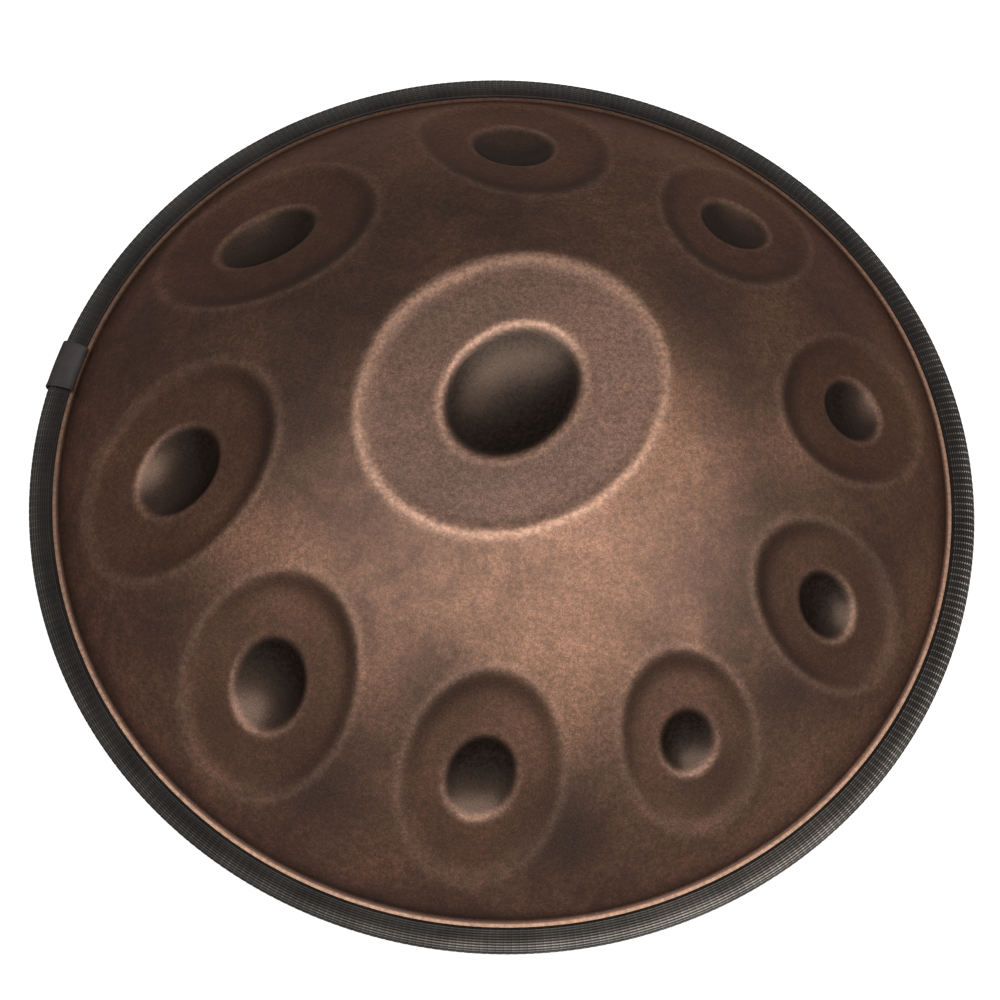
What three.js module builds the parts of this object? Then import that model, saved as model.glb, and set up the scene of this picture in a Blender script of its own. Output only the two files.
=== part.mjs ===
// A handpan: two domed steel shells glued flange to flange, with a ribbed edge trim round the rim.
// Millimetres, +Z up. The origin is on the axis, in the plane that the instrument rests on.
import * as THREE from "three";
import { ConvexHull } from "three/addons/math/ConvexHull.js";

// Shells: a cap of a sphere, a small fillet at its foot and a flat flange.
const SHEET = 1;
const DOME_RADIUS = 362;
const FOOT_RADIUS = 264.3; // where the sphere would cut the flange's face
const FOOT_FILLET = 3;
const FLANGE_RADIUS = 274;

// Port in the lower shell, with a flat land round it that the instrument rests on.
const LAND_HEIGHT = 109.5; // from the land to the lower flange's outer face
const PORT_RADIUS = 48;
const PORT_FILLET = 5;
const NECK_DEPTH = 28;

// Glue between the flanges.
const GLUE = 0.4;
const GLUE_INNER_RADIUS = 266;
const GLUE_OUTER_RADIUS = 273.4;

// Edge trim: a rounded channel over both flanges, with a folded steel core inside it.
const TRIM_CENTRE_RADIUS = 274.5;
const TRIM_HALF_WIDTH = 7;
const TRIM_HALF_THICKNESS = 4.1;
const TRIM_ROUNDING = 2.5; // exponent of the section's superellipse
const SLOT_RADIUS = 274.6;
const CORE_INNER_RADIUS = 270;
const CORE_OUTER_RADIUS = 277.5;
const CORE_HALF_HEIGHT = 2.6;
const CORE_POCKET = 0.7;
const CORE_GAP = 0.1;

// Clip over the butt joint of the trim.
const JOINT_AZIMUTH = 170;
const BUTT_GAP = 1.5;
const CLIP_LENGTH = 31;
const CLIP_GAP = 0.3;
const CLIP_THICKNESS = 1.2;
const CLIP_REACH_DEGREES = 166; // how far the clip wraps each way from the rim's outermost line

// Playing surface: the ding on top, and nine tone fields round it. Azimuth and reach place a field's
// centre. Its border and its dimple are ellipses, each as length, width and turn. Turn leans the long axis
// away from the rim's direction, and 90 points it at the instrument's axis.
const DING = toneField(50, 1.8, [178, 154, 91], [91, 71.5, 85]);
const TONE_FIELDS = [
  toneField(-168, 190, [144, 111, 68], [64, 51, 75]),
  toneField(-127, 199, [130, 99, 81], [56, 44, 76]),
  toneField(-90.5, 201, [119, 84, 98], [49, 39, 105]),
  toneField(-58, 204, [104, 75, 95], [38, 33, 98]),
  toneField(-26, 205, [112, 83, 91], [45, 36, 95]),
  toneField(9, 204, [122, 92, 70], [49, 41, 73]),
  toneField(49.5, 202, [134, 99, 75], [57, 46, 86]),
  toneField(92.5, 202, [152, 113, 71], [66, 53, 77]),
  toneField(142, 197, [150, 127, 64], [69, 54, 48]),
];
const FIELD_STEP_DEPTH = 1.5; // the short step down inside a field's border
const DING_STEP_DEPTH = 0.4;
const STEP_WIDTH = 5.5;
const DIMPLE_DEPTH_SHARE = 0.14; // of the dimple's mean diameter
const DIMPLE_POWER = 2.4; // above 2, so that the wall is steep and the floor nearly flat

// Mesh density.
const RIM_SEGMENTS = 80;
const DOME_STEPS = 7;
const FIELD_SEGMENTS = 24;
const DING_SEGMENTS = 40;
const FIELD_RINGS = [1, 0.9, 0.72];
const DIMPLE_RINGS = [1, 0.85, 0.55];
const TRIM_STEPS = 12;
const CLIP_STEPS = 6;
const BACKGROUND_SPACING = 21;
const BACKGROUND_CLEARANCE = 1.2;

const FULL_TURN = 2 * Math.PI;
const MID_HEIGHT = LAND_HEIGHT + SHEET + GLUE / 2;
const UPPER_FLANGE_FACE = MID_HEIGHT + GLUE / 2 + SHEET;
const FLANGE_STACK = 2 * SHEET + GLUE;
const SPHERE_DROP = Math.sqrt(DOME_RADIUS ** 2 - FOOT_RADIUS ** 2); // flange's face to the sphere's centre
const FILLET_REACH = DOME_RADIUS + FOOT_FILLET; // the sphere's centre to the fillet's centre
const FLANGE_INNER_RADIUS = Math.sqrt(FILLET_REACH ** 2 - (SPHERE_DROP + FOOT_FILLET) ** 2);
const FOOT_ANGLE = Math.asin(FLANGE_INNER_RADIUS / FILLET_REACH);

function toneField(azimuth, reach, [length, width, turn], [dimpleLength, dimpleWidth, dimpleTurn]) {
  const border = { length, width, turn };
  const dimple = { length: dimpleLength, width: dimpleWidth, turn: dimpleTurn };
  return { azimuth, reach, border, dimple };
}

// Points of a shell's section from the foot of its dome to the edge of its flange, as radius and height
// above the flange's outer face. inset is the depth under the outer face of the sheet.
function footLine(inset) {
  const points = [FOOT_ANGLE, FOOT_ANGLE / 2, 0].map(
    (angle) =>
      new THREE.Vector2(
        FLANGE_INNER_RADIUS - (FOOT_FILLET + inset) * Math.sin(angle),
        FOOT_FILLET - (FOOT_FILLET + inset) * Math.cos(angle),
      ),
  );
  return [...points, new THREE.Vector2(FLANGE_RADIUS, -inset)];
}

// The dome's section from the land round the port to just above the foot.
function domeLine(inset) {
  const radius = DOME_RADIUS - inset;
  const landAngle = Math.acos((SPHERE_DROP + LAND_HEIGHT - inset) / radius);
  return Array.from({ length: DOME_STEPS }, (_, i) => {
    const angle = THREE.MathUtils.lerp(landAngle, FOOT_ANGLE, i / DOME_STEPS);
    return new THREE.Vector2(radius * Math.sin(angle), radius * Math.cos(angle) - SPHERE_DROP);
  });
}

// The neck of the port, from its inner end out to the land.
function neckLine(inset) {
  const fillet = PORT_FILLET - inset;
  const bend = [180, 135, 90].map((degrees) => {
    const angle = THREE.MathUtils.degToRad(degrees);
    return new THREE.Vector2(
      PORT_RADIUS + PORT_FILLET + fillet * Math.cos(angle),
      LAND_HEIGHT - PORT_FILLET + fillet * Math.sin(angle),
    );
  });
  return [new THREE.Vector2(PORT_RADIUS + inset, LAND_HEIGHT - NECK_DEPTH), ...bend];
}

// A ring turned about +Z from a closed section of radius and height.
function turned(section) {
  const geometry = new THREE.LatheGeometry([...section, section[0]], RIM_SEGMENTS);
  return geometry.rotateX(Math.PI / 2);
}

function lowerShellGeometry() {
  const outer = [...neckLine(0), ...domeLine(0), ...footLine(0)];
  const inner = [...neckLine(SHEET), ...domeLine(SHEET), ...footLine(SHEET)];
  const section = [...outer, ...inner.reverse()];
  return turned(section.map((point) => new THREE.Vector2(point.x, LAND_HEIGHT - point.y)));
}

function glueGeometry() {
  const low = MID_HEIGHT - GLUE / 2;
  const high = MID_HEIGHT + GLUE / 2;
  return turned([
    new THREE.Vector2(GLUE_INNER_RADIUS, low),
    new THREE.Vector2(GLUE_OUTER_RADIUS, low),
    new THREE.Vector2(GLUE_OUTER_RADIUS, high),
    new THREE.Vector2(GLUE_INNER_RADIUS, high),
  ]);
}

// An ellipse on the sphere: local axes in the tangent plane at its centre.
function ellipseOnSphere(field, shape) {
  const azimuth = THREE.MathUtils.degToRad(field.azimuth);
  const turn = THREE.MathUtils.degToRad(shape.turn);
  const tilt = Math.asin(field.reach / DOME_RADIUS);
  const outward = new THREE.Vector3(Math.cos(azimuth), Math.sin(azimuth), 0);
  const around = new THREE.Vector3(-outward.y, outward.x, 0);
  const normal = new THREE.Vector3(0, 0, Math.cos(tilt)).addScaledVector(outward, Math.sin(tilt));
  const down = new THREE.Vector3(0, 0, -Math.sin(tilt)).addScaledVector(outward, Math.cos(tilt));
  const long = around.clone().multiplyScalar(Math.cos(turn)).addScaledVector(down, Math.sin(turn));
  const short = new THREE.Vector3().crossVectors(normal, long);
  return { normal, long, short, halfLength: shape.length / 2, halfWidth: shape.width / 2 };
}

// The direction from the sphere's centre to a point of an ellipse, at a share of its size.
function ellipseDirection(ellipse, share, angle) {
  const p = share * ellipse.halfLength * Math.cos(angle);
  const q = share * ellipse.halfWidth * Math.sin(angle);
  const depth = Math.sqrt(DOME_RADIUS ** 2 - p * p - q * q);
  return new THREE.Vector3()
    .addScaledVector(ellipse.long, p)
    .addScaledVector(ellipse.short, q)
    .addScaledVector(ellipse.normal, depth)
    .divideScalar(DOME_RADIUS);
}

// How far out of an ellipse a direction points: 0 at its centre, 1 on its line.
function ellipseShare(ellipse, direction) {
  if (direction.dot(ellipse.normal) < 0) return Infinity;
  const p = (DOME_RADIUS * direction.dot(ellipse.long)) / ellipse.halfLength;
  const q = (DOME_RADIUS * direction.dot(ellipse.short)) / ellipse.halfWidth;
  return Math.hypot(p, q);
}

const hammered = [DING, ...TONE_FIELDS].map((field) => ({
  border: ellipseOnSphere(field, field.border),
  dimple: ellipseOnSphere(field, field.dimple),
  stepDepth: field === DING ? DING_STEP_DEPTH : FIELD_STEP_DEPTH,
  segments: field === DING ? DING_SEGMENTS : FIELD_SEGMENTS,
}));

// How far the hammering sinks the sheet under the sphere. A field is flattened to about its chord plane.
function sunk({ border, dimple, stepDepth }, direction) {
  const share = Math.min(ellipseShare(border, direction), 1);
  const flattened = (border.halfLength * border.halfWidth) / (2 * DOME_RADIUS);
  const fromBorder = ((1 - share) * (border.halfLength + border.halfWidth)) / 2;
  const step = stepDepth * (1 - Math.exp(-((fromBorder / STEP_WIDTH) ** 2)));
  const dimpleShare = Math.min(ellipseShare(dimple, direction), 1);
  const dimpleDepth = DIMPLE_DEPTH_SHARE * (dimple.halfLength + dimple.halfWidth);
  return flattened * (1 - share ** 2) + step + dimpleDepth * (1 - dimpleShare ** DIMPLE_POWER);
}

// A point of the upper shell's dome, at a depth under the outer face of the sheet.
function domePoint(direction, field, inset) {
  const depth = field ? sunk(field, direction) : 0;
  const point = direction.clone().multiplyScalar(DOME_RADIUS - depth - inset);
  point.z += UPPER_FLANGE_FACE - SPHERE_DROP;
  return point;
}

// The dome laid flat: distance from the apex along the sphere, at the same azimuth.
function flatChart(direction) {
  const angle = Math.acos(direction.z);
  const scale = (DOME_RADIUS * angle) / Math.max(Math.hypot(direction.x, direction.y), 1e-9);
  return new THREE.Vector2(direction.x * scale, direction.y * scale);
}

function directionAt(angle, azimuth) {
  return new THREE.Vector3(
    Math.sin(angle) * Math.cos(azimuth),
    Math.sin(angle) * Math.sin(azimuth),
    Math.cos(angle),
  );
}

// Loose points that fill the dome between the fields, on rings with about equal spacing.
function backgroundDirections() {
  const directions = [];
  const rings = Math.round((DOME_RADIUS * FOOT_ANGLE) / BACKGROUND_SPACING);
  for (let ring = 1; ring < rings; ring++) {
    const angle = (FOOT_ANGLE * ring) / rings;
    const count = Math.round((FULL_TURN * DOME_RADIUS * Math.sin(angle)) / BACKGROUND_SPACING);
    for (let i = 0; i < count; i++) {
      const direction = directionAt(angle, (FULL_TURN * (i + 0.5 * (ring % 2))) / count);
      const free = hammered.every(({ border }) => ellipseShare(border, direction) > BACKGROUND_CLEARANCE);
      if (free) directions.push(direction);
    }
  }
  return directions;
}

// Delaunay triangles of flat points: the underside of the hull of the points lifted on to a paraboloid.
function delaunay(points) {
  const lifted = points.map((point, index) =>
    Object.assign(new THREE.Vector3(point.x, point.y, point.lengthSq() / DOME_RADIUS), { index }),
  );
  const triangles = [];
  for (const face of new ConvexHull().setFromPoints(lifted).faces) {
    if (face.normal.z >= -1e-6) continue;
    const corners = [face.edge, face.edge.next, face.edge.prev].map((edge) => edge.head().point.index);
    triangles.push([corners[0], corners[2], corners[1]]);
  }
  return triangles;
}

// The dome of the upper shell as directions and triangles, seen from outside. The rim's ring comes first.
function domeMesh() {
  const vertices = [];
  const triangles = [];
  const ringOf = [];
  const addVertex = (direction, field, ring) => {
    vertices.push({ direction, field });
    ringOf.push(ring);
    return vertices.length - 1;
  };
  for (let i = 0; i < RIM_SEGMENTS; i++) {
    addVertex(directionAt(FOOT_ANGLE, (FULL_TURN * i) / RIM_SEGMENTS), null, -1);
  }
  backgroundDirections().forEach((direction) => addVertex(direction, null, -1));
  const outerRings = hammered.map((field, index) => {
    return Array.from({ length: field.segments }, (_, i) =>
      addVertex(ellipseDirection(field.border, 1, (FULL_TURN * i) / field.segments), field, index),
    );
  });
  for (const [a, b, c] of delaunay(vertices.map(({ direction }) => flatChart(direction)))) {
    const insideField = ringOf[a] >= 0 && ringOf[a] === ringOf[b] && ringOf[b] === ringOf[c];
    if (!insideField) triangles.push([a, b, c]);
  }
  hammered.forEach((field, index) => {
    const lines = [
      ...FIELD_RINGS.slice(1).map((share) => [field.border, share]),
      ...DIMPLE_RINGS.map((share) => [field.dimple, share]),
    ];
    let previous = outerRings[index];
    for (const [ellipse, share] of lines) {
      const lead = leadAngle(field, ellipse);
      const ring = previous.map((_, i) => {
        const angle = (FULL_TURN * i) / field.segments + lead;
        return addVertex(ellipseDirection(ellipse, share, angle), field, index);
      });
      joinRings(triangles, previous, ring);
      previous = ring;
    }
    const centre = addVertex(field.border.normal.clone(), field, index);
    previous.forEach((vertex, i) => triangles.push([vertex, previous[(i + 1) % previous.length], centre]));
  });
  return { vertices, triangles };
}

// The angle that lines an inner ellipse's points up with those of the field's border.
function leadAngle({ border }, ellipse) {
  return Math.atan2(border.long.dot(ellipse.short), border.long.dot(ellipse.long));
}

// Two triangles for each step between two rings with the same number of points.
function joinRings(triangles, outer, inner) {
  outer.forEach((vertex, i) => {
    const next = (i + 1) % outer.length;
    triangles.push([vertex, outer[next], inner[next]], [vertex, inner[next], inner[i]]);
  });
}

function upperShellGeometry() {
  const dome = domeMesh();
  const count = dome.vertices.length;
  const positions = [0, SHEET].flatMap((inset) =>
    dome.vertices.map(({ direction, field }) => domePoint(direction, field, inset)),
  );
  const triangles = dome.triangles.flatMap(([a, b, c]) => [
    [a, b, c],
    [a + count, c + count, b + count],
  ]);
  const outerFoot = footLine(0).slice(1);
  const innerFoot = footLine(SHEET).slice(1);
  const outerRing = Array.from({ length: RIM_SEGMENTS }, (_, i) => i);
  const innerRing = outerRing.map((vertex) => vertex + count);
  let previous = outerRing;
  for (const { x: radius, y: height } of [...outerFoot, ...innerFoot.reverse()]) {
    const ring = outerRing.map((i) => {
      const azimuth = (FULL_TURN * i) / RIM_SEGMENTS;
      const [x, y] = [radius * Math.cos(azimuth), radius * Math.sin(azimuth)];
      positions.push(new THREE.Vector3(x, y, UPPER_FLANGE_FACE + height));
      return positions.length - 1;
    });
    joinRings(triangles, ring, previous);
    previous = ring;
  }
  joinRings(triangles, innerRing, previous);
  const geometry = new THREE.BufferGeometry().setFromPoints(positions);
  geometry.setIndex(triangles.flat());
  geometry.computeVertexNormals();
  return geometry;
}

// The rim's circle in the plane between the flanges.
class RimArc extends THREE.Curve {
  constructor(startAzimuth, sweep) {
    super();
    this.startAzimuth = startAzimuth;
    this.sweep = sweep;
  }

  getPoint(t) {
    const azimuth = this.startAzimuth + t * this.sweep;
    const x = TRIM_CENTRE_RADIUS * Math.cos(azimuth);
    const y = TRIM_CENTRE_RADIUS * Math.sin(azimuth);
    return new THREE.Vector3(x, y, MID_HEIGHT);
  }
}

// A section swept along the rim. Its points are radius and height above the plane between the flanges.
function sweptAlongRim(outline, holes, sweep, steps) {
  const inSection = ({ x: radius, y: height }) => new THREE.Vector2(-height, TRIM_CENTRE_RADIUS - radius);
  const shape = new THREE.Shape(outline.map(inSection));
  shape.holes = holes.map((hole) => new THREE.Path(hole.map(inSection)));
  const path = new RimArc(-sweep / 2, sweep);
  return new THREE.ExtrudeGeometry(shape, { extrudePath: path, steps });
}

// The trim's rounded outside, grown outwards, between two angles of its section.
function roundedSection(grow, fromDegrees, toDegrees, count) {
  return Array.from({ length: count + 1 }, (_, i) => {
    const angle = THREE.MathUtils.degToRad(THREE.MathUtils.lerp(fromDegrees, toDegrees, i / count));
    const round = (value) => Math.sign(value) * Math.abs(value) ** (2 / TRIM_ROUNDING);
    return new THREE.Vector2(
      TRIM_CENTRE_RADIUS + (TRIM_HALF_WIDTH + grow) * round(Math.cos(angle)),
      (TRIM_HALF_THICKNESS + grow) * round(Math.sin(angle)),
    );
  });
}

// The folded core's section, or its pocket in the trim when inset is 0.
function coreSection(inset) {
  const low = CORE_INNER_RADIUS + inset;
  const high = CORE_OUTER_RADIUS - inset;
  const top = CORE_HALF_HEIGHT - inset;
  const under = CORE_HALF_HEIGHT - CORE_POCKET + inset;
  const web = CORE_OUTER_RADIUS - CORE_POCKET + inset;
  const upper = [
    new THREE.Vector2(web, under),
    new THREE.Vector2(low, under),
    new THREE.Vector2(low, top),
    new THREE.Vector2(high, top),
  ];
  return [...upper, ...upper.map(({ x, y }) => new THREE.Vector2(x, -y)).reverse()];
}

const trimSweep = FULL_TURN - BUTT_GAP / TRIM_CENTRE_RADIUS;

function trimGeometry() {
  const slotShare = FLANGE_STACK / 2 / TRIM_HALF_THICKNESS;
  const lipDegrees = 180 - THREE.MathUtils.radToDeg(Math.asin(slotShare ** (TRIM_ROUNDING / 2)));
  const outline = [
    ...roundedSection(0, lipDegrees, -lipDegrees, TRIM_STEPS),
    new THREE.Vector2(SLOT_RADIUS, -FLANGE_STACK / 2),
    new THREE.Vector2(SLOT_RADIUS, FLANGE_STACK / 2),
  ];
  return sweptAlongRim(outline, [coreSection(0)], trimSweep, RIM_SEGMENTS);
}

function clipGeometry() {
  const reach = CLIP_REACH_DEGREES;
  const inside = roundedSection(CLIP_GAP, reach, -reach, TRIM_STEPS);
  const outside = roundedSection(CLIP_GAP + CLIP_THICKNESS, -reach, reach, TRIM_STEPS);
  return sweptAlongRim([...inside, ...outside], [], CLIP_LENGTH / TRIM_CENTRE_RADIUS, CLIP_STEPS);
}

function node(name, geometry, color, metalness, roughness) {
  const material = new THREE.MeshStandardMaterial({ color, metalness, roughness });
  const mesh = new THREE.Mesh(geometry, material);
  mesh.name = name;
  return mesh;
}

const STEEL_COPPER_BROWN = 0x7a5a4a;
const EPOXY_BROWN = 0x3a2f28;
const CORE_GREY = 0x8d9094;
const RUBBER_BLACK = 0x2c2b2b;
const SLEEVE_BLACK = 0x353334;

const handpan = new THREE.Group();
handpan.name = "handpan";
handpan.add(
  node("ding_shell", upperShellGeometry(), STEEL_COPPER_BROWN, 1, 0.42),
  node("gu_shell", lowerShellGeometry(), STEEL_COPPER_BROWN, 1, 0.42),
  node("flange_adhesive", glueGeometry(), EPOXY_BROWN, 0, 0.5),
);

// The trim's two ends meet opposite the start of its sweep; the clip is centred on the joint.
const trimGroup = new THREE.Group();
trimGroup.rotation.z = THREE.MathUtils.degToRad(JOINT_AZIMUTH) - Math.PI;
const jointGroup = new THREE.Group();
jointGroup.rotation.z = Math.PI;
jointGroup.add(node("trim_joint_clip", clipGeometry(), SLEEVE_BLACK, 0, 0.45));
trimGroup.add(
  node("rim_trim", trimGeometry(), RUBBER_BLACK, 0, 0.6),
  node("trim_core", sweptAlongRim(coreSection(CORE_GAP), [], trimSweep, RIM_SEGMENTS), CORE_GREY, 1, 0.4),
  jointGroup,
);
handpan.add(trimGroup);

export default handpan;
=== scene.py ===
"""Looks for the handpan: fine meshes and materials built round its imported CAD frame.

Lengths are millimetres until a mesh is made, which is in metres. +Z is up, and the origin is on the axis in
the plane that the instrument rests on.
"""

import math

import bpy
import numpy as np
from mathutils import Matrix, Vector, geometry

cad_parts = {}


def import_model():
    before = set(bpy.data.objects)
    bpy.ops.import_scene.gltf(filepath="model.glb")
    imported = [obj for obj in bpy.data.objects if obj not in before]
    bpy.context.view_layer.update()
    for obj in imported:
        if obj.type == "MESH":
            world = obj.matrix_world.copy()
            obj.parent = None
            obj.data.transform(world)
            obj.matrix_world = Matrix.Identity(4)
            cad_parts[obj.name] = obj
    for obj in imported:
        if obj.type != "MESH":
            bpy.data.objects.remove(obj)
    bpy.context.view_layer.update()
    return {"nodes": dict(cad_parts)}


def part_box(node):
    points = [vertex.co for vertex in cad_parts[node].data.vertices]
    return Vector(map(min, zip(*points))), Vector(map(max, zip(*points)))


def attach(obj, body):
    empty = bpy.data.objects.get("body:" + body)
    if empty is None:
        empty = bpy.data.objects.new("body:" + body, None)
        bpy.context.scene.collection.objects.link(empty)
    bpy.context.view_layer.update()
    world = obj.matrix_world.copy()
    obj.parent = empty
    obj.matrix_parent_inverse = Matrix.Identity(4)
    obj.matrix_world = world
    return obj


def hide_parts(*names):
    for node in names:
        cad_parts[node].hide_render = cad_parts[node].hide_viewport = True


MM = 0.001

# Shells: a cap of a sphere, a small fillet at its foot and a flat flange.
SHEET = 1.0
DOME_RADIUS = 362.0
FOOT_RADIUS = 264.3
FOOT_FILLET = 3.0
FLANGE_RADIUS = 274.0
PORT_RADIUS = 48.0
PORT_FILLET = 5.0
NECK_DEPTH = 28.0

# Edge trim and the clip over its joint.
TRIM_CENTRE_RADIUS = 274.5
TRIM_HALF_WIDTH = 7.0
TRIM_HALF_THICKNESS = 4.1
TRIM_ROUNDING = 2.5  # exponent of the section's superellipse
SLOT_RADIUS = 274.6
SLOT_HALF_HEIGHT = 1.2
POCKET_INNER_RADIUS = 270.0
POCKET_OUTER_RADIUS = 277.5
POCKET_HALF_HEIGHT = 2.6
POCKET_THICKNESS = 0.7
JOINT_AZIMUTH = 170.0
BUTT_GAP = 1.5
CLIP_LENGTH = 31.0
CLIP_GAP = 0.3
CLIP_THICKNESS = 1.2
CLIP_END_SHARE = 0.55  # of its thickness, at its very ends
CLIP_REACH_DEGREES = 166.0
CLIP_END_ROUNDING = 0.7
CLIP_FLARE = 0.56
CLIP_FLARE_LENGTH = 1.6
CLIP_LIP_BULGE = (-0.25, 0)  # radius and height
CLIP_STEPS = 34
CLIP_SECTORS = 64

# Texture of the trim's outside: ribs along it, cut across by shallow grooves.
TRIM_CELLS = 411
TRIM_RIBS = 21
RIB_DEPTH = 0.45
GROOVE_DEPTH = 0.15
GROOVE_SHARE = 0.18  # of a cell's length, each side of its groove
LIP_WIDTH = 2.0  # smooth band along each of the trim's two lips
LIP_ROWS = 3
SECTION_SAMPLES = 4001
NORMAL_STEP = 0.05  # how far each way along the section its direction is taken
POCKET_STEPS = 240

# Points along a cell: place in the cell, depth of the groove there, and how much painted glint its edge
# takes.
CELL_STATIONS = (
    (0, 1.0, 0.0),
    (GROOVE_SHARE, 0.0, 1.0),
    (GROOVE_SHARE + 0.16, 0.0, 0.0),
    (GROOVE_SHARE + 0.64, 0.0, 0.0),
)

# Painted glints on the trim's ribs. Across it: on its flanks, and how much more on its shoulders.
FLANK_GLINT = 0.45
SHOULDER_GLINT = 0.65
SHOULDER_PLACE = 0.35  # share of the way round the section
SHOULDER_SPREAD = 0.09
# Along it: the least, how much more at the lit side, that side's azimuth, and its spread in degrees.
RIB_GLINT = (0.30, 0.80, -68, 36)
CELL_EDGE_GLINT = (0.22, 1.05, -12, 34)

# Playing surface. Azimuth and reach place a field's centre. Its border and its dimple are ellipses, each as
# length, width and turn. Turn leans the long axis away from the rim's direction.
DING = (50, 1.8, (178, 154, 91), (91, 71.5, 85))
TONE_FIELDS = (
    (-168, 190, (144, 111, 68), (64, 51, 75)),
    (-127, 199, (130, 99, 81), (56, 44, 76)),
    (-90.5, 201, (119, 84, 98), (49, 39, 105)),
    (-58, 204, (104, 75, 95), (38, 33, 98)),
    (-26, 205, (112, 83, 91), (45, 36, 95)),
    (9, 204, (122, 92, 70), (49, 41, 73)),
    (49.5, 202, (134, 99, 75), (57, 46, 86)),
    (92.5, 202, (152, 113, 71), (66, 53, 77)),
    (142, 197, (150, 127, 64), (69, 54, 48)),
)
FIELD_STEP_DEPTH = 1.5  # the short step down inside a field's border
DING_STEP_DEPTH = 0.4
STEP_WIDTH = 5.5
FIELD_SURROUND = 40  # how far past its border a field is worked out
FAR_SHARE = 99.0  # stands for any place too far from a field to matter
DIMPLE_DEPTH_SHARE = 0.14  # of the dimple's mean diameter
DIMPLE_POWER = 2.4

DING_DARK_AZIMUTH = -50  # side of the ding's dimple with the most painted shade. The others' faces the axis
SHADED_DIMPLE_AZIMUTH = -35  # the fields nearest it have the darkest dimples, in painted shade
SHADED_DIMPLE_SPREAD = 58  # degrees
SHADED_DIMPLE_STRENGTH = 0.42

# Burnished rings, partly painted highlight: strength, millimetres outwards from the border or the dimple's
# edge, and width.
DING_BORDER_RING = (0.95, 0.5, 3.2)
DING_BORDER_HALO = (0.20, -3.0, 5.0)
DING_DIMPLE_RING = (0.95, 0.5, 2.6)
FIELD_BORDER_RING = (0.26, 1.6, 2.8)
FIELD_DIMPLE_RING = (1.0, 0.5, 1.8)
FIELD_DIMPLE_SHEEN = (0.15, 0.40)  # strength of that ring on its dark side, and how much more painted highlight on its lit side
FIELD_CREASE = (1.0, -5.0, 7.0)  # painted shade: the dark band just inside a field's border

# How many millimetres the patina takes to change inside an edge.
DIMPLE_EDGE_BLEND = 4
DIMPLE_EDGE_SHARE = 1.02  # where a dimple's patina starts, just outside its line
DING_EDGE_BLEND = 6
FIELD_EDGE_BLEND = 8

# Darker soft patches, partly smoky patina and partly painted shade: azimuth, reach and size, and how strong
# it is at the centre.
SMOKE_AND_SHADE_PATCHES = (
    (160, 105, 45, 0.55),
    (172, 228, 26, 0.40),
    (-172, 112, 34, 0.60),
    (-160, 92, 20, 0.40),
    (-145, 224, 22, 0.50),
    (-131, 228, 18, 0.60),
    (-113, 224, 30, 0.80),
    (-99, 160, 22, 0.40),
    (-79, 224, 34, 0.85),
    (-56, 226, 28, 0.95),
    (-50, 136, 22, 0.35),
    (-41, 214, 22, 0.60),
    (-30, 155, 26, 0.30),
    (-28, 218, 34, 0.70),
    (-18, 148, 22, 0.40),
    (-16, 222, 26, 0.60),
    (38, 116, 34, 0.70),
    (118, 150, 40, 0.30),
)
# Lighter copper patches, partly patina and partly painted light, in the same columns.
GLOW_AND_LIGHT_PATCHES = (
    (-8, 68, 32, 0.80),
    (40, 74, 34, 0.80),
    (-60, 100, 40, 0.40),
    (-75, 150, 36, 0.60),
    (-112, 170, 20, 0.50),
    (-136, 152, 28, 0.70),
    (-152, 166, 26, 0.85),
    (-80, 184, 20, 0.70),
    (-3, 160, 22, 0.70),
    (29, 168, 22, 0.45),
    (84, 182, 26, 0.50),
    (113, 182, 30, 0.45),
    (-50, 254, 45, 0.50),
    (-15, 262, 40, 0.60),
    (15, 255, 50, 0.50),
    (60, 250, 60, 0.70),
    (100, 250, 60, 0.80),
    (130, 250, 40, 0.50),
)

BORDER_SOFTNESS = 1.6  # how far a crease is rounded
DIMPLE_SOFTNESS = 1.1
# Raised lips: height, millimetres outwards from the line, and width.
SHOULDER_LIP = (0.8, 0, 4.0)
BORDER_LIP = (0.22, 0, 2.6)
DIMPLE_LIP = (0.40, 0, 2.4)

WAVES = 24  # of the hammered sheet's waviness
WAVE_PITCHES = (26, 85)
WAVE_HEIGHT = 0.022
UPPER_WAVE_SEED = 5
UPPER_WAVE_FADE = 12  # flat by the foot, over this many millimetres
LOWER_WAVE_SEED = 11
LOWER_WAVE_FADE = 20
LOWER_WAVE_ZONE = (66, FOOT_RADIUS - 8)  # radii, from the edge of the flat land to just inside the foot

# Fineness of the shells' meshes.
FEWEST_SECTORS = 24
OUTER_ROWS = 138
OUTER_SECTORS = 768
INNER_ROWS = 64
INNER_SECTORS = 384
LOWER_ROWS = 58
LOWER_SECTORS = 288
NECK_STATIONS = (18, 12, 6, 2)  # distances from the fillet, in from the neck's end

FIELD_MASKS = ("ridge", "crease", "hollow", "shade", "field", "pewter")
MASKS = (*FIELD_MASKS, "smoke", "glow", "warm", "foot", "bare")

FOOT_HEIGHT = math.sqrt(DOME_RADIUS**2 - FOOT_RADIUS**2)  # flange's face to the sphere's centre
FILLET_REACH = DOME_RADIUS + FOOT_FILLET
FLANGE_INNER_RADIUS = math.sqrt(FILLET_REACH**2 - (FOOT_HEIGHT + FOOT_FILLET) ** 2)
FOOT_ANGLE = math.asin(FLANGE_INNER_RADIUS / FILLET_REACH)
FLANGE_RINGS = (266.3, 268.5, FLANGE_RADIUS)

# Near the rim: painted shade in the foot's corner, a warmer brown patina above it, and bare copper on the
# flange.
FOOT_SHADE_WIDTH = 4.0
WARM_FROM = 190
WARM_BLEND = 90
BARE_FROM = FLANGE_INNER_RADIUS - 0.2
BARE_BLEND = 1.6


# ---------------------------------------------------------------- meshes


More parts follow.
